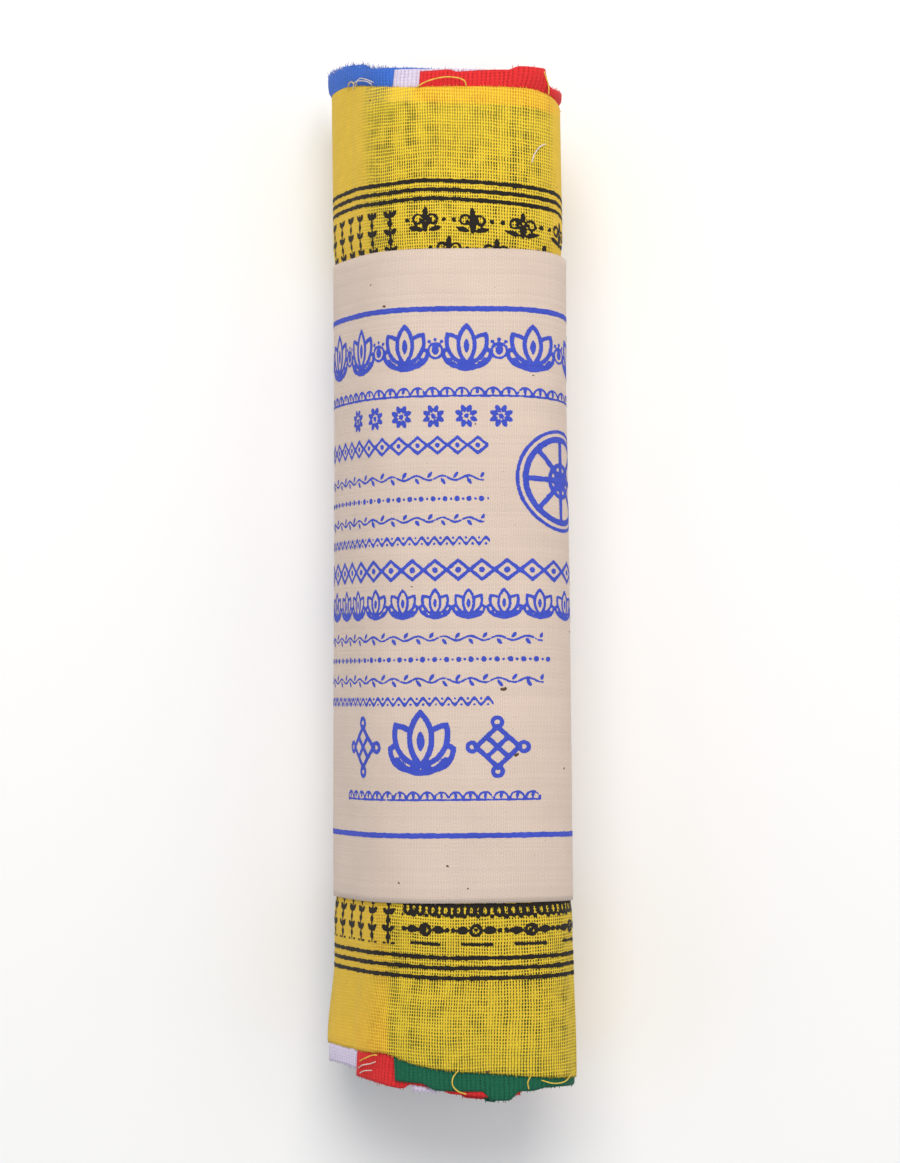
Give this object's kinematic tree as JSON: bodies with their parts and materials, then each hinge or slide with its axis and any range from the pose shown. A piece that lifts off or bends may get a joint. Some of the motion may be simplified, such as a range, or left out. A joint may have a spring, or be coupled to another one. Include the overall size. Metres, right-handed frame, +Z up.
{
  "type": "roll of prayer flags",
  "caption": "Roll of cotton prayer flags wound up together, lying on its side in a cotton label band.",
  "frame": {"origin": "middle of the roll's footprint, on the surface that it lies on", "axes": "+Y along the roll towards its upper end in the picture, +X to the right in the picture, +Z up from the surface"},
  "size_m": [0.056, 0.2368, 0.0501],
  "materials": {
    "yellow_flag": "thin open plain-weave cotton, dyed yellow",
    "label_cotton": "unbleached plain-weave cotton with flecks",
    "blue_flag": "thin plain-weave cotton, dyed blue",
    "white_flag": "thin plain-weave cotton, bleached",
    "red_flag": "thin plain-weave cotton, dyed red",
    "green_flag": "thin plain-weave cotton, dyed green",
    "black_ink": "block-printing ink soaked into cotton",
    "blue_ink": "block-printing ink soaked into cotton"
  },
  "bodies": {
    "root": {"flag_roll": "yellow_flag", "label_band": "label_cotton"}
  },
  "joints": []
}
